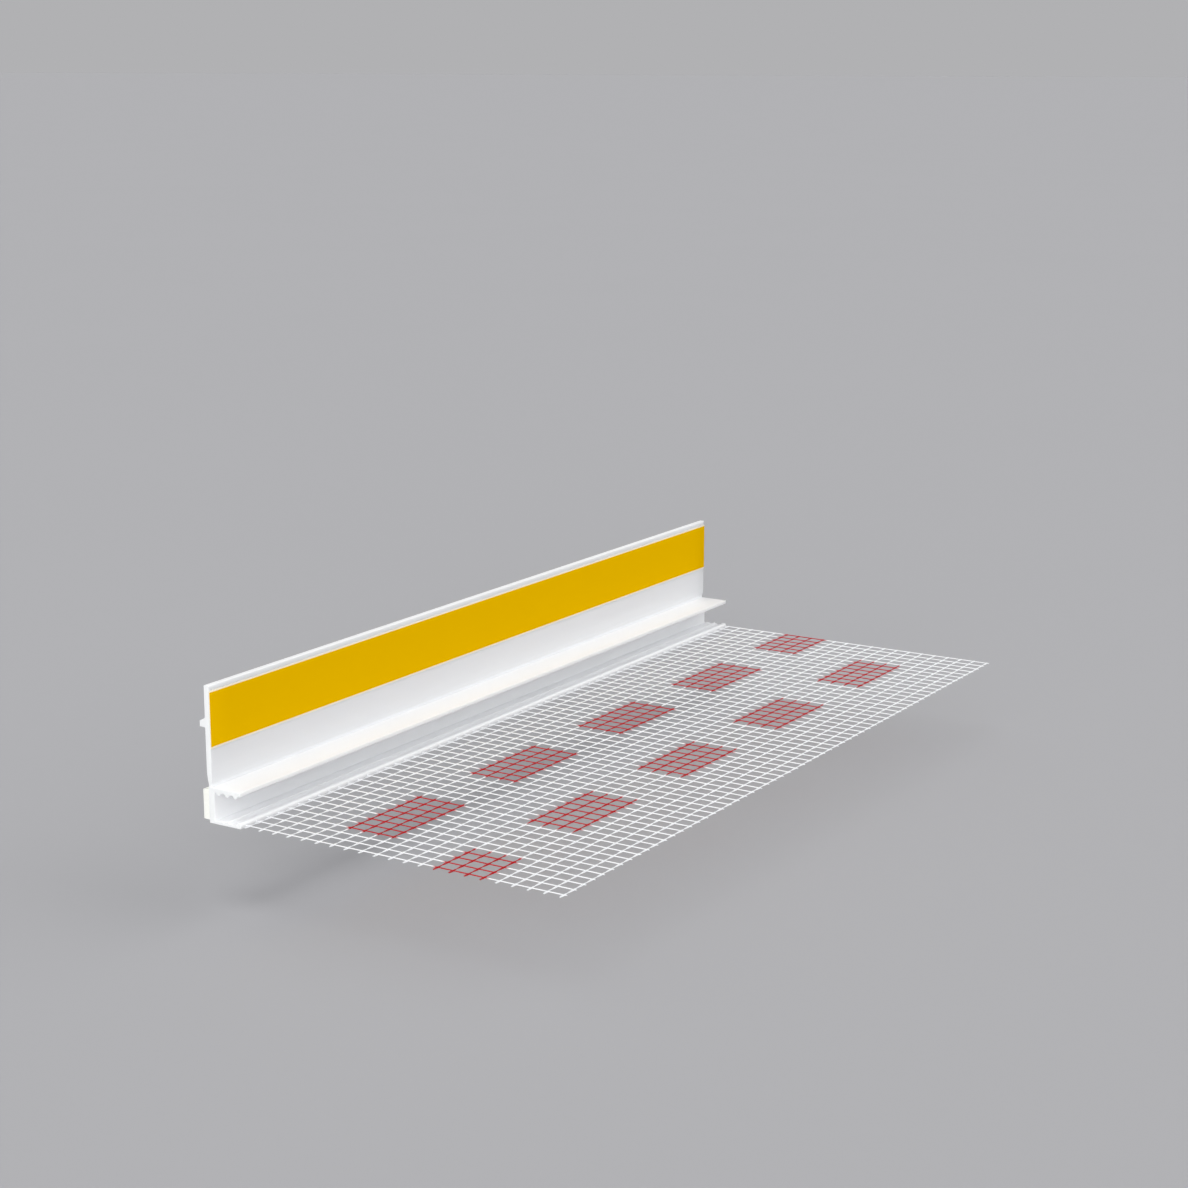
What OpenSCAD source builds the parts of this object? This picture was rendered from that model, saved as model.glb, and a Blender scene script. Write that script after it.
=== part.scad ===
// Plaster connection profile: a PVC channel with a tear-off flange, a foam seal,
// a strip of adhesive tape and a flat glass-fibre mesh that is held in its bottom edge.
// The length runs along Y, the mesh lies on the +X side, and Z is up.

/* [Length] */
// Length of the piece as cut
length = 268.4; // [120:0.1:400]

/* [Channel] */
// Height of the channel, from the underside to the top of the lip
channel_h = 10; // [9:0.1:14]
// Thickness of the back wall
wall_t = 1.9; // [1.2:0.1:2.2]
// Width of the top lip, from the outside of the back wall
lip_w = 10.7; // [10.6:0.1:14]
// Thickness of the top lip
lip_t = 1.1; // [0.8:0.1:1.4]
// Radius of the rounded end of the lip
lip_end_r = 0.15; // [0.1:0.05:0.35]
// Width of the bottom flange, from the outside of the back wall
base_w = 10.8; // [10.7:0.1:14]
// Thickness of the bottom flange
base_t = 0.75; // [0.7:0.05:1.2]
// Radius of the fillets in the two inner corners
corner_r = 0.5; // [0.2:0.1:0.7]

/* [Key ribs] */
// Number of key ribs on each inner face
rib_count = 3; // [1:1:3]
// Distance from the outside of the back wall to the first rib
rib_first = 3.35; // [3.2:0.05:3.6]
// Distance from one rib to the next
rib_pitch = 2.9; // [2.6:0.05:3]
// Height of a rib under the lip
lip_rib_h = 0.75; // [0.5:0.05:0.8]
// Radius of its round top
lip_rib_r = 0.8; // [0.75:0.05:1.2]
// Height of a rib on the bottom flange
base_rib_h = 0.7; // [0.5:0.05:0.8]
// Radius of its wider round top
base_rib_r = 1.5; // [0.9:0.05:1.5]

/* [Outer edge] */
// Height of the thickened edge that holds the mesh
edge_h = 1.5; // [1.4:0.05:1.8]
// Width of the thickened edge
edge_w = 1.3; // [1.2:0.05:1.5]
// Radius of the edge's lower corner
edge_r = 0.3; // [0.1:0.05:0.3]
// Radius of its upper corner
edge_top_r = 0.6; // [0.2:0.05:0.6]
// Plastic left under the mesh
mesh_under = 0.37; // [0.3:0.01:0.45]
// Depth to which each thread is set into the edge, in a pocket of its own
mesh_seat = 0.7; // [0.4:0.05:0.7]

/* [Tear-off flange] */
// Height of the flange above the lip
flange_h = 28.3; // [24:0.1:36]
// Thickness of the flange
flange_t = 1.7; // [1.4:0.05:2]
// How far the flange stands out behind the back wall
flange_back = 0.45; // [0.3:0.05:0.6]
// Radius of the flange's two top corners
flange_top_r = 0.3; // [0.1:0.05:0.5]
// Thickness of the neck where the flange tears off
neck_t = 0.7; // [0.5:0.05:0.8]
// Height of the neck
neck_h = 0.5; // [0.3:0.05:0.8]
// Setback of the neck from the outside of the back wall
neck_back = 0.1; // [0:0.05:0.3]
// Radius of the curve from the neck out to the flange's back
back_curve_r = 20; // [10:1:30]
// Radius of the curve from the neck out to the flange's front
front_curve_r = 5; // [3:0.5:12]

/* [Back rib] */
// Height of the rib's flat lower side above the lip
back_rib_z = 16.6; // [12:0.1:20]
// How far the rib stands out from the flange's back
back_rib_out = 1.85; // [1.4:0.05:2.4]
// Thickness of the rib at its tip
back_rib_t = 1.65; // [1.2:0.05:2]
// Rise of the rib's upper side from its tip to the bevel at its root
back_rib_rise = 0.75; // [0.5:0.05:1.2]
// Width and height of that bevel
back_rib_bevel = 0.4; // [0.1:0.05:0.6]
// Radius of the fillet under the rib
back_rib_r = 0.35; // [0.1:0.05:0.6]

/* [Foam seal] */
// Thickness of the foam
foam_t = 2; // [1.5:0.1:2.2]
// Height of the foam strip
foam_h = 8.5; // [6:0.1:8.6]
// Height of the foam's lower side above the underside
foam_up = 0.85; // [0:0.05:0.9]

/* [Adhesive tape] */
// Width of the tape
tape_w = 15; // [9:0.5:18]
// Thickness of the tape with its liner
tape_t = 0.25; // [0.15:0.05:0.5]
// Bare strip of flange left above the tape
tape_margin = 1.9; // [1:0.05:3]

/* [Mesh] */
// Number of threads that run along the length
long_count = 22; // [6:1:24]
// Distance between the threads that run along the length
long_pitch = 4.75; // [4:0.05:5.5]
// Distance between the threads that run across
cross_pitch = 4.43; // [4:0.01:5.5]
// Width of a thread that runs along the length
long_w = 0.7; // [0.5:0.05:0.9]
// Width of a thread that runs across
cross_w = 0.6; // [0.5:0.05:0.9]
// Thickness of the mesh
mesh_t = 0.42; // [0.36:0.01:0.45]
// Distance from the plastic edge to the centre of the first thread along the length
lead_in = 1.3; // [0.8:0.01:2]
// Length of the cut thread ends beyond the outermost thread
side_stub = 0.9; // [0.5:0.05:2]
// Length of the cut thread ends before the first thread across
end_stub = 2.1; // [1:0.1:2.2]

/* [Hidden] */

// Smoothness of small and of large round surfaces
round_fn = 48;
wide_fn = 240;

// Overlap that fuses two forms of one piece
fuse = 0.05;

// Stretches of mesh along the length
strip_count = 4;
cross_count = floor((length - end_stub - cross_w / 2) / cross_pitch) + 1;
first_cross_y = -length / 2 + end_stub;

// Places across the section, from the outside of the back wall
first_long_x = base_w + lead_in;
last_long_x = first_long_x + (long_count - 1) * long_pitch;
mesh_from_x = base_w - mesh_seat;
mesh_to_x = last_long_x + side_stub;
flange_front = flange_t - flange_back;
neck_front = neck_back + neck_t;

// Heights above the underside
flange_foot_z = channel_h + neck_h;
flange_top_z = channel_h + flange_h;
tape_z = flange_top_z - tape_margin - tape_w;

// Half way between the back rib's tip and the mesh's cut edge
mid_x = (mesh_to_x - flange_back - back_rib_out) / 2;

// Height over which an arc that leaves a straight side moves in by the given depth
function curve_h(r, depth) = sqrt(2 * r * depth - depth * depth);

// Flat bar with its two far corners rounded
module round_ended(w, h, r) {
  square([w, h - r]);
  translate([r, 0]) square([w - 2 * r, h]);
  for (x = [r, w - r]) translate([x, h - r]) circle(r, $fn = round_fn);
}

// Fillet that fills the corner between the X and Y axes
module corner_fillet(r) {
  difference() {
    translate([-fuse, -fuse]) square(r + fuse);
    translate([r, r]) circle(r, $fn = round_fn);
  }
}

// What is cut away where a straight side curves in to the neck
module neck_curve(r, depth) {
  difference() {
    translate([-fuse, -fuse]) square([depth + fuse, curve_h(r, depth) + fuse]);
    translate([r, curve_h(r, depth)]) circle(r, $fn = wide_fn);
  }
}

// Key ribs with round tops, standing on the X axis
module key_ribs(h, r) {
  for (i = [0 : rib_count - 1]) translate([rib_first + i * rib_pitch, 0]) intersection() {
    translate([-r - fuse, -fuse]) square([2 * (r + fuse), h + 2 * fuse]);
    translate([0, h - r]) circle(r, $fn = round_fn);
  }
}

// Thickened edge, which ends the bottom flange
module thick_edge() {
  foot_w = edge_w - edge_r;
  top_w = edge_w - edge_top_r;
  square([foot_w, edge_h - edge_top_r]);
  square([top_w, edge_h]);
  translate([0, edge_r]) square([edge_w, edge_h - edge_top_r - edge_r]);
  translate([foot_w, edge_r]) circle(edge_r, $fn = round_fn);
  translate([top_w, edge_h - edge_top_r]) circle(edge_top_r, $fn = round_fn);
}

// Channel: back wall, bottom flange with its thick outer edge, and top lip
module channel_section() {
  square([wall_t, channel_h]);
  square([base_w - edge_w + fuse, base_t]);
  translate([base_w - edge_w, 0]) thick_edge();
  translate([0, channel_h]) rotate(-90) round_ended(lip_t, lip_w, lip_end_r);
  translate([0, base_t]) key_ribs(base_rib_h, base_rib_r);
  translate([0, channel_h - lip_t]) mirror([0, 1]) key_ribs(lip_rib_h, lip_rib_r);
  translate([wall_t, base_t]) corner_fillet(corner_r);
  translate([wall_t, channel_h - lip_t]) mirror([0, 1]) corner_fillet(corner_r);
}

// Flange that tears off at its neck. The neck reaches up into the foot of the flange, and
// the two curves stop a little inside the neck's sides.
module flange_section() {
  translate([neck_back, channel_h - fuse]) square([neck_t, 2 * neck_h + fuse]);
  difference() {
    translate([-flange_back, flange_foot_z]) round_ended(flange_t, flange_h - neck_h, flange_top_r);
    translate([-flange_back, flange_foot_z]) neck_curve(back_curve_r, flange_back + neck_back + fuse);
    translate([flange_front, flange_foot_z])
      mirror([1, 0]) neck_curve(front_curve_r, flange_front - neck_front + fuse);
  }
}

// Rib on the flange's back, flat below, and above sloped up to a bevel
module back_rib_section() {
  translate([-flange_back, channel_h + back_rib_z]) mirror([1, 0]) {
    polygon([
      [-fuse, 0], [back_rib_out, 0], [back_rib_out, back_rib_t],
      [back_rib_bevel, back_rib_t + back_rib_rise],
      [-fuse, back_rib_t + back_rib_rise + back_rib_bevel + fuse]
    ]);
    mirror([0, 1]) corner_fillet(back_rib_r);
  }
}

// Straight piece of the given section, centred along the length
module along(section_length) {
  translate([0, section_length / 2, 0]) rotate([90, 0, 0]) linear_extrude(section_length) children();
}

// Moves a piece from the back wall's corner to the middle of the footprint
module placed() {
  translate([-mid_x, 0, 0]) children();
}

// Threads across the mesh, from number first to number last and out to the given place
module cross_threads(first, last, to_x) {
  for (j = [first : last])
    translate([mesh_from_x, first_cross_y + j * cross_pitch - cross_w / 2])
      square([to_x - mesh_from_x, cross_w]);
}

module at_mesh_level() {
  translate([0, 0, mesh_under]) linear_extrude(mesh_t) children();
}

module pvc_profile() {
  color("whitesmoke") placed() difference() {
    along(length) {
      channel_section();
      flange_section();
      back_rib_section();
    }
    at_mesh_level() cross_threads(0, cross_count - 1, base_w + fuse);
  }
}

module foam_seal() {
  color("ivory") placed() along(length) translate([-foam_t, foam_up]) square([foam_t, foam_h]);
}

module adhesive_tape() {
  color("goldenrod") placed() along(length) translate([flange_front, tape_z]) square([tape_t, tape_w]);
}

// One stretch of the mesh, which holds the threads across from number first to number last
module mesh_strip(strip) {
  first = floor(strip * cross_count / strip_count);
  last = floor((strip + 1) * cross_count / strip_count) - 1;
  from_y = first == 0 ? -length / 2 : first_cross_y + (first - 0.5) * cross_pitch;
  to_y = last == cross_count - 1 ? length / 2 : first_cross_y + (last + 0.5) * cross_pitch;
  color("white") placed() at_mesh_level() {
    for (i = [0 : long_count - 1])
      translate([first_long_x + i * long_pitch - long_w / 2, from_y]) square([long_w, to_y - from_y]);
    cross_threads(first, last, mesh_to_x);
  }
}

pvc_profile();
foam_seal();
adhesive_tape();
mesh_strip(0);  // mesh_strip_1
mesh_strip(1);  // mesh_strip_2
mesh_strip(2);  // mesh_strip_3
mesh_strip(3);  // mesh_strip_4
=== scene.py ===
"""Dresses a plaster connection profile: plastic, foam seal, adhesive tape and woven mesh."""

import math

import bmesh
import bpy
import numpy as np
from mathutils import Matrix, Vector
from mathutils.geometry import tessellate_polygon


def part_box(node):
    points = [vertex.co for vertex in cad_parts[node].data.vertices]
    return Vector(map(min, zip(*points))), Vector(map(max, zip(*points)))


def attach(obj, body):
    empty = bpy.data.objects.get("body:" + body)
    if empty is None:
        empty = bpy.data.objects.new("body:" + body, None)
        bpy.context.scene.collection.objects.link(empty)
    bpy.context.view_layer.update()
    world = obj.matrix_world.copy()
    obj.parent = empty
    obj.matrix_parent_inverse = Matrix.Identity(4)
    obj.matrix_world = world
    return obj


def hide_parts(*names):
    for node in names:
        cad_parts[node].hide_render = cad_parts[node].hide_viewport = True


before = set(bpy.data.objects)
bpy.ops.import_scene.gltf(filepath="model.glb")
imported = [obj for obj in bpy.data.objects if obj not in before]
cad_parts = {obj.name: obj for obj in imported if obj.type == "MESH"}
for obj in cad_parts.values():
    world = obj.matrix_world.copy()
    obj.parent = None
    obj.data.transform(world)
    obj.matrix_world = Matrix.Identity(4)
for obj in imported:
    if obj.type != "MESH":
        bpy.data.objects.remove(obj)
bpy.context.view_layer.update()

# Sizes are in millimetres and become metres when a piece is made
MM = 0.001
UP = np.array([0.0, 0.0, 1.0])
ALONG = np.array([0.0, 1.0, 0.0])
ACROSS = np.array([1.0, 0.0, 0.0])

# Extruded profile
CORNER_R = 0.12
CORNER_STEPS = 4
SHARP_TURN = 35
CUT_EDGE_R = 0.07
CUT_EDGE_STEPS = 3
RING_STEP = 8.0

# Longest cut back from a corner, as a share of the shorter side beside it
MAX_CUT_BACK = 0.45

# A solid's cut face: how near the end its points lie, and the digits that tell two points apart
FACE_REACH = 0.001
FACE_DIGITS = 4

# Faces that meet at more degrees than this keep a sharp edge, on most pieces and on the yarns
CREASE = 40
YARN_CREASE = 60

# Ribs on the bottom flange, from the wall's back face: they lie a little lower than in the solid
BASE_T = 0.75
BASE_RIBS = (1.95, 9.55)
BASE_RIB_TOP = 1.45
BASE_RIB_SHARE = 0.42

# How deep light spreads in the white plastic, and the heights between which the flange's white is
# painted greyer as shade, with the softness of that painted shade's edges
PVC_DEPTH = 1.2
FLANGE_PAINTED_SHADE = (10.7, 37.9)
FLANGE_SOFT = 1.0

# Foam seal: its pits are fine and its swell is wide, by how often the random heights are smoothed
FOAM_STEP = 0.55
FOAM_EDGE_R = 0.3
FOAM_PITS = 0.05
FOAM_SWELL = 0.07
PIT_PASSES = 1
SWELL_PASSES = 12
CELLS_PER_MM = 1.9

# Adhesive tape: a liner on adhesive. Each stands out so far below and above the solid
LINER_T = 0.06
LINER_OUT = (0.05, 0.0)
ADHESIVE_OUT = (0.6, 0.4)
TAPE_EDGE_R = 0.04
TAPE_EDGE_STEPS = 2
TAPE_STEP = 1.0

# Mesh threads
LONG_COUNT = 22
LONG_PITCH = 4.75
CROSS_PITCH = 4.43
SIDE_STUB = 0.9
END_STUB = 2.1
RINGS_PER_CELL = 6

# Share of the mesh's flat size that is thread and not opening
MESH_COVER = 0.345

# A thread along the length is a pair of yarns that swap places at every crossing, one over and
# one under the thread across
YARN_SIDES = 6
YARN_HALF_W = 0.13
YARN_HALF_H = 0.11
YARN_APART = 0.1
YARN_RISE = 0.135
YARN_FLAT = 0.07

# How suddenly a yarn changes its shape at a crossing
CROSSING_POWER = 4

# A thread across is one flat yarn
FLAT_SIDES = 8
FLAT_HALF_W = 0.24
FLAT_HALF_H = 0.14
FLAT_PINCH = 0.035

# Threads drift a little to each side, in long waves and, by a share of them, in short ones
DRIFT = 0.04
LONG_WAVE = 9.7
SHORT_WAVE = 3.1
SHORT_SHARE = 0.4

# Drop of coating that fills the corners of a crossing: four arms, slimmer with a higher power
KNOT_POINTS = 16
KNOT_ARM = 0.66
KNOT_WAIST = 0.32
KNOT_POWER = 3
KNOT_H = 0.19
KNOT_RINGS = (0.42, 0.78)
KNOT_SPREAD = 0.08

# A yarn narrows to this share over its last stretch before a cut end
WORN = 0.75

# Loose fibre ends at the cut threads. They start inside the yarn, within these shares of its half
# width and half height, and splay to the side and up or down by so much
FIBRES_PER_END = 6
FIBRE_SIDES = 3
FIBRE_R = 0.03
FIBRE_TAPER = 0.5
FIBRE_LENGTH = 0.2
FIBRE_SHORTEST = 0.55
FIBRE_ROOT = 0.2
FIBRE_START = (0.7, 0.6)
FIBRE_SPLAY = (0.12, 0.08)

# Plain printed marks on the mesh: two rows of blocks, one row half a step behind the other.
# Their sizes count threads
MARK_ROWS = (6.5, 14.5)
MARK_HALF_THREADS = 1.75
MARK_STEP = 13
MARK_LENGTH = 7.6
MARK_SOFT = 0.25
MARK_RAGGED = 0.1

# Floor, backdrop and camera. The floor's size and the camera's place are in metres, and the gap
# between the piece and the floor is in millimetres
FLOOR_SIZE = 60.0
FLOOR_GAP = 25.0
FLOOR_TONES = ((177, 177, 180), (178, 178, 181))
BACKDROP = (177, 177, 179)
EYE = (0.34962, -0.58857, 0.2003)
LOOK = (-0.51545, 0.82741, -0.22292)
LENS = 70.84
SENSOR = 36.0
SKY_LEVEL = 0.2

# Each lamp: where it shines from, its level on a surface that faces it, and its softness in degrees
LAMPS = {
    "overhead": ((0.0, -0.34, 0.94), 0.25, 32),
    "near_end": ((0.25, -0.93, 0.26), 0.7, 50),
    "mesh_side": ((0.6, -0.72, 0.34), 0.13, 40),
    "far_side": ((0.61, 0.61, 0.5), 0.4, 75),
    "behind": ((-0.64, 0.0, 0.77), 0.14, 50),
    "low_behind": ((-0.98, 0.0, 0.17), 0.1, 60),
}

SEED = 11
rng = np.random.default_rng(SEED)


def display(red, green, blue):
    """A colour as it shows on screen, from 0 to 255, as the shader's linear values."""
    levels = [c / 255 for c in (red, green, blue)]
    linear = [c / 12.92 if c <= 0.04045 else ((c + 0.055) / 1.055) ** 2.4 for c in levels]
    return (*linear, 1.0)


def placed(name, data):
    """A new object that stands in the scene."""
    made = bpy.data.objects.new(name, data)
    bpy.context.scene.collection.objects.link(made)
    return made


class Level:
    """A socket of a material's nodes that takes part in sums and products."""

    def __init__(self, nodes, socket):
        self.nodes = nodes
        self.socket = socket

    def _math(self, operation, first, second):
        return self.nodes.add("ShaderNodeMath", {"operation": operation}, {0: first, 1: second})

    def __add__(self, other):
        return self._math("ADD", self, other)

    def __sub__(self, other):
        return self._math("SUBTRACT", self, other)

    def __rsub__(self, other):
        return self._math("SUBTRACT", other, self)

    def __mul__(self, other):
        return self._math("MULTIPLY", self, other)

    def __truediv__(self, other):
        return self._math("DIVIDE", self, other)

    def __rtruediv__(self, other):
        return self._math("DIVIDE", other, self)

    __radd__ = __add__
    __rmul__ = __mul__


class Nodes:
    """The nodes of one material or of the world."""

    def __init__(self, tree):
        self.tree = tree
        tree.nodes.clear()

    def add(self, kind, settings=None, inputs=None, output=0):
        """Adds a node: its settings first, then a value or a link for each socket that is named."""
        node = self.tree.nodes.new(kind)
        for name, value in (settings or {}).items():
            setattr(node, name, value)
        for name, value in (inputs or {}).items():
            if isinstance(value, Level):
                self.tree.links.new(value.socket, node.inputs[name])
            else:
                node.inputs[name].default_value = value
        return Level(self, node.outputs[output]) if node.outputs else None

    def clamped(self, level):
        """The level, held between 0 and 1."""
        return self.add("ShaderNodeClamp", {}, {"Value": level})

    def blend(self, factor, first, second):
        """A colour between two, by the factor."""
        return self.add("ShaderNodeMix", {"data_type": "RGBA"}, {0: factor, 6: first, 7: second}, 2)


class Finish(Nodes):
    """One material, whose patterns lie in the object's own coordinates, in metres."""

    def __init__(self, name):
        self.material = bpy.data.materials.new(name)
        self.material.use_nodes = True
        super().__init__(self.material.node_tree)
        self.place = self.add("ShaderNodeTexCoord", output="Object")

    def grain(self, per_mm, detail=2.0):
        """Noise from 0 to 1, with so many grains to a millimetre along each axis."""
        sides = {0: self.place, 1: tuple(n / MM for n in per_mm)}
        place = self.add("ShaderNodeVectorMath", {"operation": "MULTIPLY"}, sides)
        return self.add("ShaderNodeTexNoise", {}, {"Vector": place, "Scale": 1.0, "Detail": detail})

    def bump(self, height, depth, strength, normal=None):
        """A surface whose height, from 0 to 1, stands for so many millimetres."""
        inputs = {"Height": height, "Distance": depth * MM, "Strength": strength}
        if normal is not None:
            inputs["Normal"] = normal
        return self.add("ShaderNodeBump", {}, inputs)

    def surface(self, **inputs):
        """Ends the material in one shader, whose sockets are named with underscores for spaces."""
        named = {name.replace("_", " "): value for name, value in inputs.items()}
        shader = self.add("ShaderNodeBsdfPrincipled", {}, named)
        self.add("ShaderNodeOutputMaterial", {}, {"Surface": shader})
        return self.material


def band(finish, level, centre, half, soft):
    """1 within half of the centre and 0 outside it, with an edge of the given softness."""
    off = finish.add("ShaderNodeMath", {"operation": "ABSOLUTE"}, {0: level - centre})
    return finish.clamped((half - off) / soft + 0.5)


def drawn_pvc():
    """Satin white plastic as it leaves the die, with faint lines along its length, and a painted
    shade that greys the flange's face.
    """
    finish = Finish("drawn_pvc")
    lines = finish.grain((2.2, 0.012, 2.2), detail=3.0)
    clouds = finish.grain((0.05, 0.02, 0.05))
    speckle = finish.grain((4.0, 4.0, 4.0))
    tone = finish.clamped(0.65 * clouds + 0.35 * lines)
    white = finish.blend(tone, display(246, 248, 251), display(249, 251, 254))
    painted_shade_grey = finish.blend(tone, display(229, 230, 232), display(233, 234, 235))
    height = finish.add("ShaderNodeSeparateXYZ", {}, {"Vector": finish.place}, "Z") / MM
    # Painted shade: the flange's face is painted grey between these heights, though the plastic is
    # as white as the lip
    low, high = FLANGE_PAINTED_SHADE
    in_painted_shade = band(finish, height, (low + high) / 2, (high - low) / 2, FLANGE_SOFT)
    colour = finish.blend(in_painted_shade, white, painted_shade_grey)
    rough = 0.3 + 0.12 * lines + 0.06 * speckle
    drawn = finish.bump(lines, depth=0.012, strength=0.5)
    normal = finish.bump(speckle, depth=0.004, strength=0.4, normal=drawn)
    return finish.surface(
        Base_Color=colour,
        Roughness=rough,
        Normal=normal,
        Subsurface_Weight=0.8,
        Subsurface_Scale=PVC_DEPTH * MM,
        Subsurface_Radius=(1.0, 1.0, 1.0),
    )


def sawn_pvc():
    """The same plastic where it is cut to length: duller, with fine marks of the blade."""
    finish = Finish("sawn_pvc")
    marks = finish.grain((0.6, 0.6, 7.0), detail=3.0)
    nicks = finish.grain((5.0, 5.0, 5.0))
    colour = finish.blend(marks, display(236, 238, 238), display(243, 245, 245))
    rough = 0.5 + 0.18 * marks
    cut = finish.bump(marks, depth=0.02, strength=0.5)
    normal = finish.bump(nicks, depth=0.01, strength=0.4, normal=cut)
    return finish.surface(Base_Color=colour, Roughness=rough, Normal=normal)


def closed_cell_foam():
    """Cream-white foam: small closed cells with thin walls between them."""
    finish = Finish("closed_cell_foam")
    inputs = {"Vector": finish.place, "Scale": CELLS_PER_MM / MM}
    cells = finish.add("ShaderNodeTexVoronoi", {"feature": "SMOOTH_F1"}, inputs)
    soft = finish.grain((0.4, 0.25, 0.4))
    shade = finish.clamped(0.8 * cells + 0.3 * soft)
    colour = finish.blend(shade, display(251, 252, 246), display(240, 241, 233))
    rough = 0.72 + 0.16 * cells
    normal = finish.bump(cells, depth=-0.09, strength=0.6)
    return finish.surface(Base_Color=colour, Roughness=rough, Normal=normal)


def yellow_liner():
    """Smooth yellow release liner, nearly matt."""
    finish = Finish("yellow_liner")
    clouds = finish.grain((0.06, 0.03, 0.06), detail=3.0)
    ripple = finish.grain((0.25, 0.5, 0.25))
    colour = finish.blend(clouds, display(238, 186, 0), display(240, 188, 0))
    rough = 0.45 + 0.1 * clouds
    normal = finish.bump(ripple, depth=0.02, strength=0.35)
    return finish.surface(Base_Color=colour, Roughness=rough, Normal=normal, Specular_IOR_Level=0.0)


def adhesive_edge():
    """Pale adhesive layer that shows along the liner's edges."""
    finish = Finish("adhesive_edge")
    strings = finish.grain((3.0, 0.4, 3.0))
    colour = finish.blend(strings, display(252, 240, 206), display(254, 247, 226))
    normal = finish.bump(strings, depth=0.03, strength=0.5)
    return finish.surface(Base_Color=colour, Roughness=0.35 + 0.2 * strings, Normal=normal)


def printed_marks(finish, first_x, first_y):
    """Where ink lies on the threads: plain blocks in two rows that are half a step apart."""
    ragged = MARK_RAGGED * (finish.grain((1.1, 1.1, 1.1)) - 0.5)
    x = finish.add("ShaderNodeSeparateXYZ", {}, {"Vector": finish.place}, "X")
    y = finish.add("ShaderNodeSeparateXYZ", {}, {"Vector": finish.place}, "Y")
    threads_out = (x / MM - first_x) / LONG_PITCH + ragged
    steps_along = ((y / MM - first_y) / CROSS_PITCH + ragged) / MARK_STEP
    ink = 0.0
    for row, centre in enumerate(MARK_ROWS):
        in_step = finish.add("ShaderNodeMath", {"operation": "FRACT"}, {0: steps_along + row / 2})
        across = band(finish, threads_out, centre, MARK_HALF_THREADS, MARK_SOFT)
        along = band(finish, in_step, 0.5, MARK_LENGTH / 2 / MARK_STEP, MARK_SOFT / MARK_STEP)
        ink = across * along + ink
    return ink


def coated_yarn(name, per_mm, first_x, first_y):
    """White coated glass fibre, with its fibres showing through the coating along the yarn."""
    finish = Finish(name)
    fibres = finish.grain(per_mm)
    lumps = finish.grain((0.9, 0.9, 0.9))
    white = finish.blend(fibres, display(245, 247, 249), display(251, 252, 254))
    red = finish.blend(lumps, display(172, 0, 12), display(194, 0, 22))
    ink = printed_marks(finish, first_x, first_y)
    colour = finish.blend(ink, white, red)
    rough = 0.38 + 0.2 * fibres
    coat = finish.bump(lumps, depth=0.05, strength=0.4)
    normal = finish.bump(fibres, depth=0.03, strength=0.5, normal=coat)
    return finish.surface(
        Base_Color=colour,
        Roughness=rough,
        Normal=normal,
        Specular_IOR_Level=0.25,
    )


class Form:
    """Points and faces of one piece, in millimetres, gathered shell by shell."""

    def __init__(self):
        self.points = []
        self.faces = []
        self.finishes = []
        self.count = 0

    def shell(self, points, faces, finish=0):
        """Adds one closed shell. finish is the place of its material in the piece's list."""
        points = np.asarray(points, float).reshape(-1, 3)
        self.points.append(points)
        self.faces.extend(tuple(corner + self.count for corner in face) for face in faces)
        self.finishes.extend([finish] * len(faces))
        self.count += len(points)

    def loft(self, rings, finish=0, end_finish=None):
        """Adds a shell through rings of points, with a flat cap at each end."""
        count, sides = rings.shape[:2]
        index = np.arange(count * sides).reshape(count, sides)
        turned = np.roll(index, -1, axis=1)
        quads = np.stack([index[:-1], turned[:-1], turned[1:], index[1:]], axis=-1).reshape(-1, 4)
        caps = [
            tuple(int(index[end][corner]) for corner in face)
            for end in (0, -1)
            for face in tessellate_polygon([[Vector(point) for point in rings[end]]])
        ]
        self.shell(rings, [*map(tuple, quads), *caps], finish)
        if end_finish is not None:
            self.finishes[-len(caps):] = [end_finish] * len(caps)

    def piece(self, name, materials, nodes, slot, crease=CREASE):
        """Makes the piece, which takes the place of the CAD nodes and rides where they do."""
        mesh = bpy.data.meshes.new(name)
        mesh.from_pydata((np.concatenate(self.points) * MM).tolist(), [], self.faces)
        mesh.polygons.foreach_set("material_index", self.finishes)
        for material in materials:
            mesh.materials.append(material)
        work = bmesh.new()
        work.from_mesh(mesh)
        bmesh.ops.recalc_face_normals(work, faces=work.faces)
        work.to_mesh(mesh)
        work.free()
        mesh.shade_smooth()
        mesh.set_sharp_from_angle(angle=math.radians(crease))
        piece = placed(name, mesh)
        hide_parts(*nodes)
        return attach(piece, "root")


def node_box(node):
    """Lowest and highest corner of a CAD node, in millimetres."""
    return [np.array(corner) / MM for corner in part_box(node)]


def end_outline(node):
    """Outline of a straight CAD piece's near cut face: (x, z) points in order, in millimetres."""
    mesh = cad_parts[node].data
    near = min(vertex.co.y for vertex in mesh.vertices) + FACE_REACH * MM
    places = [(vertex.co.x / MM, vertex.co.z / MM) for vertex in mesh.vertices]
    spots = [(round(x, FACE_DIGITS), round(z, FACE_DIGITS)) for x, z in places]
    edges = set()
    for face in mesh.polygons:
        corners = list(face.vertices)
        if all(mesh.vertices[corner].co.y < near for corner in corners):
            edges |= {(spots[a], spots[b]) for a, b in zip(corners, corners[1:] + corners[:1])}
    following = {a: b for a, b in edges if (b, a) not in edges}
    outline = [min(following)]
    while following[outline[-1]] != outline[0]:
        outline.append(following[outline[-1]])
    return np.array(outline)


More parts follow.
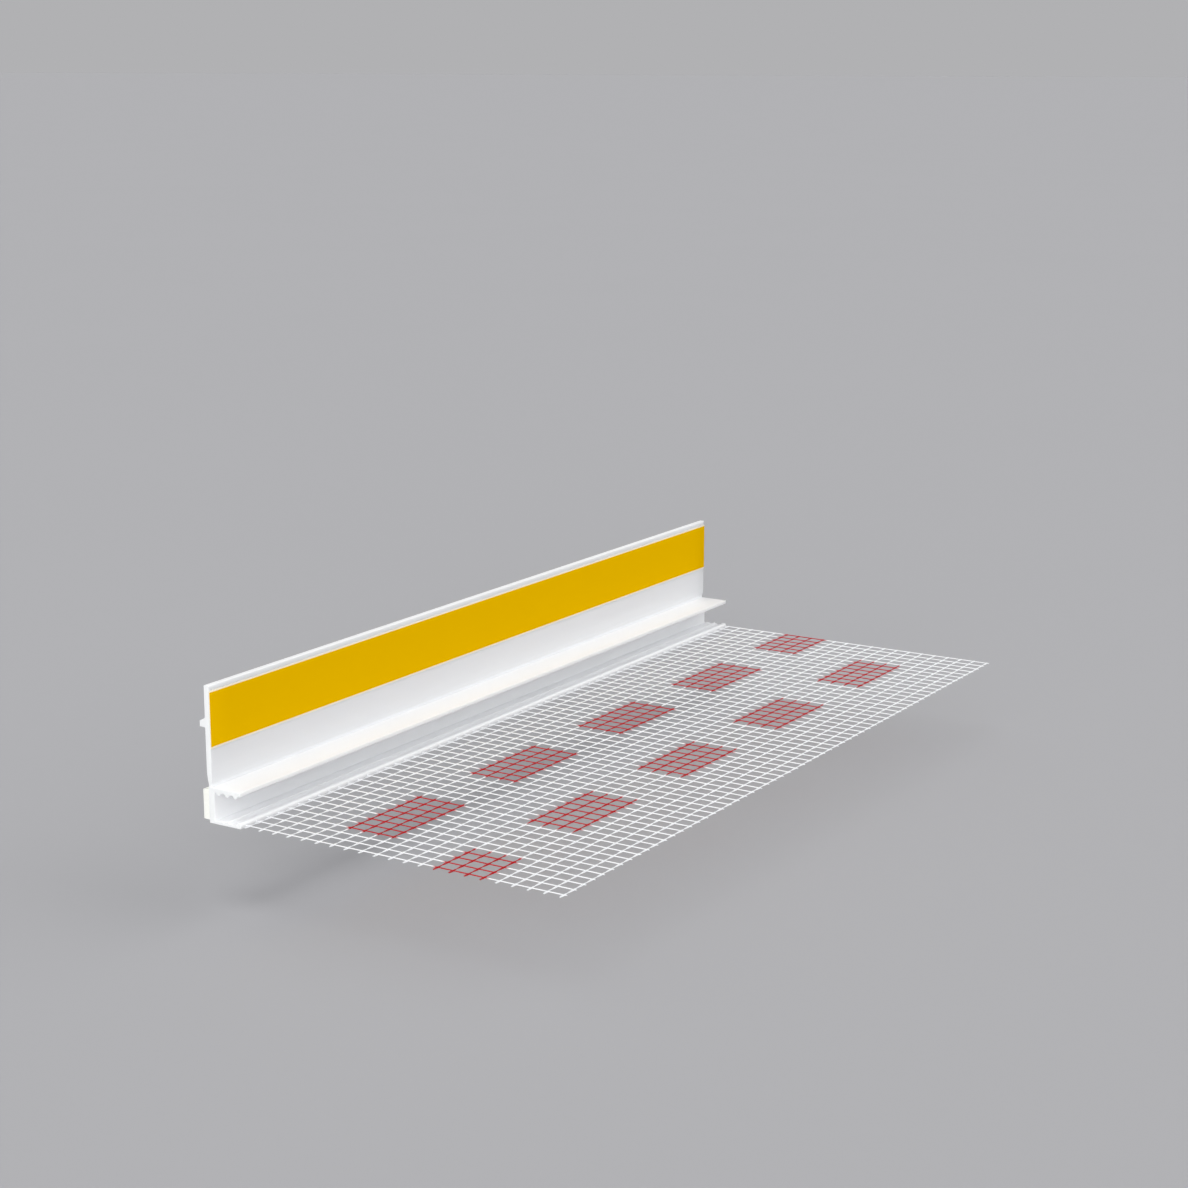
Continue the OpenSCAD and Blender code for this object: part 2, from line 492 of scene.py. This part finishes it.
def soften(outline, radius, steps, sharp):
    """Rounds each corner of an outline that turns by more than sharp degrees."""
    rounded = []
    for before, corner, after in zip(np.roll(outline, 1, 0), outline, np.roll(outline, -1, 0)):
        to_before, to_after = before - corner, after - corner
        reach = min(np.linalg.norm(to_before), np.linalg.norm(to_after)) * MAX_CUT_BACK
        to_before, to_after = (v / np.linalg.norm(v) for v in (to_before, to_after))
        turn = math.pi - math.acos(np.clip(to_before @ to_after, -1, 1))
        if math.degrees(turn) < sharp:
            rounded.append(corner)
            continue
        back = min(radius * math.tan(turn / 2), reach)
        for step in range(steps + 1):
            t = step / steps
            pull = (1 - t) ** 2 * back * to_before + t**2 * back * to_after
            rounded.append(corner + pull)
    return np.array(rounded)


def inset(outline, depth):
    """The outline moved inwards by the depth. It may run either way round."""
    before = outline - np.roll(outline, 1, 0)
    after = np.roll(outline, -1, 0) - outline
    before /= np.linalg.norm(before, axis=1)[:, None]
    after /= np.linalg.norm(after, axis=1)[:, None]
    x, z = outline.T
    area = (x * np.roll(z, -1) - np.roll(x, -1) * z).sum() / 2
    way = (before + after) / (1 + (before * after).sum(axis=1))[:, None]
    inwards = np.stack([-way[:, 1], way[:, 0]], axis=1) * math.copysign(1, area)
    return outline + depth * inwards


def straight_rings(outline, from_y, to_y, corner_r, edge_r, edge_steps, ring_step):
    """Rings of a straight piece whose corners and cut ends have a small rounded edge."""
    turns = np.radians(np.linspace(0, 90, edge_steps + 1))
    edge = [(edge_r * (1 - math.cos(a)), edge_r * (1 - math.sin(a))) for a in turns]
    count = max(2, round((to_y - from_y) / ring_step))
    middle = np.linspace(from_y + edge_r, to_y - edge_r, count + 1)[1:-1]
    stations = [(from_y + y, depth) for y, depth in edge]
    stations += [(y, 0.0) for y in middle]
    stations += [(to_y - y, depth) for y, depth in reversed(edge)]
    rings = []
    for y, depth in stations:
        ring = soften(inset(outline, depth), corner_r, CORNER_STEPS, SHARP_TURN)
        rings.append(np.column_stack([ring[:, 0], np.full(len(ring), y), ring[:, 1]]))
    return np.array(rings)


def rectangle(low_x, high_x, low_z, high_z, step):
    """A rectangle's outline, counter-clockwise, with a point about every step."""
    corners = [(low_x, low_z), (high_x, low_z), (high_x, high_z), (low_x, high_z)]
    points = []
    for start, end in zip(corners, corners[1:] + corners[:1]):
        count = max(1, round(math.dist(start, end) / step))
        points += [np.array(start) + (np.array(end) - start) * k / count for k in range(count)]
    return np.array(points)


def lower_base_ribs(outline, wall_x):
    """Brings the ribs on the bottom flange down to the height that they show."""
    x, z = outline.T
    beside = (x > wall_x + BASE_RIBS[0]) & (x < wall_x + BASE_RIBS[1])
    rib = beside & (z > BASE_T) & (z < BASE_RIB_TOP)
    return np.column_stack([x, np.where(rib, BASE_T + (z - BASE_T) * BASE_RIB_SHARE, z)])


def extruded_profile():
    """The plastic: the solid's own section, with softened corners and cut ends."""
    low, high = node_box("pvc_profile")
    wall_x = node_box("foam_seal")[1][0]
    outline = lower_base_ribs(end_outline("pvc_profile"), wall_x)
    edge = (CORNER_R, CUT_EDGE_R, CUT_EDGE_STEPS, RING_STEP)
    form = Form()
    form.loft(straight_rings(outline, low[1], high[1], *edge), 0, 1)
    return form.piece("extruded_profile", [drawn_pvc(), sawn_pvc()], ["pvc_profile"], "pvc")


def smooth_noise(shape, passes):
    """Random heights from 0 to 1 on a grid that closes on itself along its second side."""
    heights = rng.random(shape)
    for _ in range(passes):
        for axis in (0, 1):
            heights = (np.roll(heights, 1, axis) + 2 * heights + np.roll(heights, -1, axis)) / 4
    heights -= heights.min()
    return heights / heights.max()


def foam_strip():
    """The seal: its free faces are pitted and swell a little, its glued face stays flat."""
    low, high = node_box("foam_seal")
    outline = rectangle(low[0], high[0], low[2], high[2], FOAM_STEP)
    edge = (FOAM_EDGE_R, CUT_EDGE_R, CUT_EDGE_STEPS, FOAM_STEP)
    rings = straight_rings(outline, low[1], high[1], *edge)
    pits = FOAM_PITS * smooth_noise(rings.shape[:2], PIT_PASSES)
    sunk = pits + FOAM_SWELL * smooth_noise(rings.shape[:2], SWELL_PASSES)
    middle = np.array([high[0], 0.0, (low[2] + high[2]) / 2])
    reach = (middle - rings) * (ACROSS + UP)
    reach /= np.linalg.norm(reach, axis=2)[:, :, None]
    free = (rings[:, :, 0] < high[0] - FOAM_EDGE_R)[:, :, None]
    form = Form()
    form.loft(rings + np.where(free, reach * sunk[:, :, None], 0.0))
    piece = form.piece("foam_strip", [closed_cell_foam()], ["foam_seal"], "foam")
    return piece


def tape_strip():
    """The tape: a layer of adhesive on the flange, and the liner on it."""
    low, high = node_box("adhesive_tape")
    form = Form()
    meet_x = high[0] - LINER_T
    layers = ((low[0], meet_x, ADHESIVE_OUT, 1), (meet_x, high[0], LINER_OUT, 0))
    edge = (TAPE_EDGE_R, TAPE_EDGE_R, TAPE_EDGE_STEPS, RING_STEP)
    for from_x, to_x, (below, above), finish in layers:
        outline = rectangle(from_x, to_x, low[2] - below, high[2] + above, TAPE_STEP)
        form.loft(straight_rings(outline, low[1], high[1], *edge), finish)
    return form.piece("tape_strip", [yellow_liner(), adhesive_edge()], ["adhesive_tape"], "tape")


class Mesh:
    """Where the mesh's threads run and where they are cut, in millimetres."""

    def __init__(self, strips):
        boxes = [node_box(strip) for strip in strips]
        low, high = np.min([b[0] for b in boxes], axis=0), np.max([b[1] for b in boxes], axis=0)
        self.seat_x = low[0]
        self.edge_x = high[0]
        self.side_cut = high[0] - FIBRE_LENGTH
        self.near_cut = low[1] + FIBRE_LENGTH
        self.far_cut = high[1] - FIBRE_LENGTH
        self.mid_z = (low[2] + high[2]) / 2
        last_x = high[0] - SIDE_STUB
        self.long_x = last_x - LONG_PITCH * np.arange(LONG_COUNT)[::-1]
        first_y = low[1] + END_STUB
        cross_count = int((high[1] - first_y) / CROSS_PITCH) + 1
        self.cross_y = first_y + CROSS_PITCH * np.arange(cross_count)
        self.long_waves = rng.uniform(0, 2 * math.pi, (LONG_COUNT, 2))
        self.cross_waves = rng.uniform(0, 2 * math.pi, (len(self.cross_y), 2))

    def _drift(self, at, waves):
        long_wave = np.sin(at / LONG_WAVE + waves[0])
        return DRIFT * (long_wave + SHORT_SHARE * np.sin(at / SHORT_WAVE + waves[1]))

    def long_at(self, i, y):
        """X of thread i along the length, at y."""
        return self.long_x[i] + self._drift(y, self.long_waves[i])

    def cross_at(self, j, x):
        """Y of thread j across, at x."""
        return self.cross_y[j] + self._drift(x, self.cross_waves[j])


def yarn_rings(centres, half_w, half_h, side, sides):
    """Rings of a flat yarn round its centre line. side is the direction of its width."""
    turns = (np.arange(sides) + 0.5) * 2 * math.pi / sides
    width = (np.cos(turns) * half_w[:, None])[:, :, None] * side
    height = (np.sin(turns) * half_h[:, None])[:, :, None] * UP
    return centres[:, None, :] + width + height


def worn_end(half, at, end):
    """Narrows a yarn over its last stretch before a cut end."""
    return half * np.clip(WORN + (1 - WORN) * np.abs(at - end) / FIBRE_LENGTH, WORN, 1.0)


def twisted_pair(form, mesh, i, from_y, to_y):
    """Two yarns that swap places at each crossing: one passes over and the other under."""
    cells = (to_y - from_y) / CROSS_PITCH
    y = np.linspace(from_y, to_y, round(cells * RINGS_PER_CELL) + 1)
    turn = math.pi * (y - mesh.cross_y[0]) / CROSS_PITCH
    crossing = np.cos(turn) ** CROSSING_POWER
    half_w = YARN_HALF_W + YARN_FLAT * crossing
    half_h = YARN_HALF_H - YARN_FLAT / 2 * crossing
    for end in (mesh.near_cut, mesh.far_cut):
        half_w, half_h = worn_end(half_w, y, end), worn_end(half_h, y, end)
    for way in (1, -1):
        x = mesh.long_at(i, y) + way * YARN_APART * np.sin(turn)
        z = mesh.mid_z + way * YARN_RISE * np.cos(turn)
        form.loft(yarn_rings(np.stack([x, y, z], axis=1), half_w, half_h, ACROSS, YARN_SIDES), 0)


def flat_yarn(form, mesh, j):
    """One thread across, from its seat in the profile to its cut end."""
    count = round((mesh.side_cut - mesh.seat_x) / LONG_PITCH * RINGS_PER_CELL)
    x = np.linspace(mesh.seat_x, mesh.side_cut, count + 1)
    crossing = np.cos(math.pi * (x - mesh.long_x[0]) / LONG_PITCH) ** CROSSING_POWER
    half_w = worn_end(FLAT_HALF_W + FLAT_PINCH * crossing, x, mesh.side_cut)
    half_h = worn_end(FLAT_HALF_H - FLAT_PINCH * crossing, x, mesh.side_cut)
    centres = np.stack([x, mesh.cross_at(j, x), np.full(len(x), mesh.mid_z)], axis=1)
    form.loft(yarn_rings(centres, half_w, half_h, ALONG, FLAT_SIDES), 1)


def coating_drop():
    """Points and faces of a drop that reaches along both threads and fills their corners."""
    turns = np.arange(KNOT_POINTS) * 2 * math.pi / KNOT_POINTS
    reach = KNOT_WAIST + (KNOT_ARM - KNOT_WAIST) * np.abs(np.cos(2 * turns)) ** KNOT_POWER
    rim = np.stack([reach * np.cos(turns), reach * np.sin(turns), 0 * turns], axis=1)
    points = [(0.0, 0.0, KNOT_H)]
    for share in KNOT_RINGS:
        points.extend(rim * share + UP * KNOT_H * math.sqrt(1 - share**2))
    points.extend(rim)
    for share in reversed(KNOT_RINGS):
        points.extend(rim * share - UP * KNOT_H * math.sqrt(1 - share**2))
    points.append((0.0, 0.0, -KNOT_H))
    after = [(k + 1) % KNOT_POINTS for k in range(KNOT_POINTS)]
    ring_starts = [1 + KNOT_POINTS * k for k in range(2 * len(KNOT_RINGS) + 1)]
    last = len(points) - 1
    faces = [(0, 1 + k, 1 + after[k]) for k in range(KNOT_POINTS)]
    for a, b in zip(ring_starts, ring_starts[1:]):
        faces += [(a + k, b + k, b + after[k], a + after[k]) for k in range(KNOT_POINTS)]
    faces += [(last, ring_starts[-1] + after[k], ring_starts[-1] + k) for k in range(KNOT_POINTS)]
    return np.array(points), faces


def fibre_tuft(form, end, way, finish):
    """Short fibres that splay out of a cut thread. way is the direction in which it ends."""
    side = ALONG if abs(way[0]) else ACROSS
    turns = np.arange(FIBRE_SIDES) * 2 * math.pi / FIBRE_SIDES
    around = FIBRE_R * (np.cos(turns)[:, None] * side + np.sin(turns)[:, None] * UP)
    start_w, start_h = FLAT_HALF_W * FIBRE_START[0], FLAT_HALF_H * FIBRE_START[1]
    splay_w, splay_h = FIBRE_SPLAY
    for _ in range(FIBRES_PER_END):
        spread, rise = rng.uniform(-1, 1), rng.uniform(-1, 1)
        length = FIBRE_ROOT + FIBRE_LENGTH * rng.uniform(FIBRE_SHORTEST, 1.0)
        root = end + side * start_w * spread + UP * start_h * rise - way * FIBRE_ROOT
        tip = root + way * length + side * splay_w * spread + UP * splay_h * rise
        form.loft(np.array([root + around, tip + around * FIBRE_TAPER]), finish)


def woven_strip(mesh, strip, number, finishes):
    """One stretch of the mesh: its threads, the coating at its crossings and its cut ends."""
    low, high = node_box(strip)
    form = Form()
    near = max(low[1], mesh.near_cut)
    far = min(high[1], mesh.far_cut)
    ends = ((near, -ALONG), (far, ALONG))
    cut_ends = [(end, way) for end, way in ends if end in (mesh.near_cut, mesh.far_cut)]
    for i in range(LONG_COUNT):
        twisted_pair(form, mesh, i, near, far)
        for end, way in cut_ends:
            fibre_tuft(form, np.array([mesh.long_at(i, end), end, mesh.mid_z]), way, 0)
    drop_points, drop_faces = coating_drop()
    rows = [j for j, y in enumerate(mesh.cross_y) if low[1] < y < high[1]]
    for j in rows:
        flat_yarn(form, mesh, j)
        side_end = np.array([mesh.side_cut, mesh.cross_at(j, mesh.side_cut), mesh.mid_z])
        fibre_tuft(form, side_end, ACROSS, 1)
        for i in range(LONG_COUNT):
            y = mesh.cross_at(j, mesh.long_x[i])
            centre = np.array([mesh.long_at(i, y), y, mesh.mid_z])
            size = 1 + rng.uniform(-KNOT_SPREAD, KNOT_SPREAD, 3)
            form.shell(drop_points * size + centre, drop_faces, 2)
    piece = form.piece(f"woven_mesh_{number}", finishes, [strip], "mesh", YARN_CREASE)
    flat = ((mesh.edge_x - mesh.seat_x) * MM, (high[1] - low[1]) * MM)
    return (piece, MESH_COVER * flat[0] * flat[1])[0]


def woven_mesh():
    """The mesh, stretch by stretch as in the solids."""
    strips = sorted(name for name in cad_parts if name.startswith("mesh_strip"))
    mesh = Mesh(strips)
    first_x, first_y = mesh.long_x[0], mesh.cross_y[0]
    finishes = [
        coated_yarn("yarn_along", (9.0, 0.5, 9.0), first_x, first_y),
        coated_yarn("yarn_across", (0.5, 9.0, 9.0), first_x, first_y),
        coated_yarn("coating_drop", (2.5, 2.5, 2.5), first_x, first_y),
    ]
    for number, strip in enumerate(strips, 1):
        woven_strip(mesh, strip, number, finishes)


def floor():
    """A plain grey floor some way below the piece, on which its soft shadow lies apart from it."""
    finish = Finish("floor_grey")
    clouds = finish.grain((0.004, 0.004, 0.004))
    dark, light = (display(*tone) for tone in FLOOR_TONES)
    colour = finish.blend(clouds, dark, light)
    material = finish.surface(Base_Color=colour, Roughness=0.9, Specular_IOR_Level=0.0)
    half = FLOOR_SIZE / 2
    z = -FLOOR_GAP * MM
    corners = [(-half, -half, z), (half, -half, z), (half, half, z), (-half, half, z)]
    plane = bpy.data.meshes.new("floor")
    plane.from_pydata(corners, [], [(0, 1, 2, 3)])
    plane.materials.append(material)
    placed("floor", plane)


def studio():
    """An even sky, soft lamps, and a backdrop of the floor's own tone behind everything."""
    world = bpy.data.worlds.new("studio")
    world.use_nodes = True
    nodes = Nodes(world.node_tree)
    kinds = ("Camera", "Glossy", "Transmission")
    camera_ray, glossy, passed = (
        nodes.add("ShaderNodeLightPath", output=f"Is {kind} Ray") for kind in kinds
    )
    seen = nodes.clamped(camera_ray + glossy + passed)
    light = nodes.add("ShaderNodeBackground", {}, {"Color": (1, 1, 1, 1), "Strength": SKY_LEVEL})
    backdrop = nodes.add("ShaderNodeBackground", {}, {"Color": display(*BACKDROP), "Strength": 1.0})
    mixed = nodes.add("ShaderNodeMixShader", {}, {0: seen, 1: light, 2: backdrop})
    nodes.add("ShaderNodeOutputWorld", {}, {"Surface": mixed})
    bpy.context.scene.world = world
    for name, (shines_from, level, spread) in LAMPS.items():
        lamp = bpy.data.lights.new(name, "SUN")
        lamp.energy = level * math.pi
        lamp.angle = math.radians(spread)
        turn = Vector(shines_from).to_track_quat("Z", "Y")
        placed(name, lamp).rotation_euler = turn.to_euler()


def camera():
    """Looks at the piece from where the photo was taken."""
    lens = bpy.data.cameras.new("camera")
    lens.sensor_width = SENSOR
    lens.lens = LENS
    holder = placed("camera", lens)
    holder.location = EYE
    holder.rotation_euler = Vector(LOOK).to_track_quat("-Z", "Y").to_euler()
    bpy.context.scene.camera = holder


camera()
studio()
floor()
extruded_profile()
foam_strip()
tape_strip()
woven_mesh()
bpy.context.scene.view_settings.view_transform = "Standard"
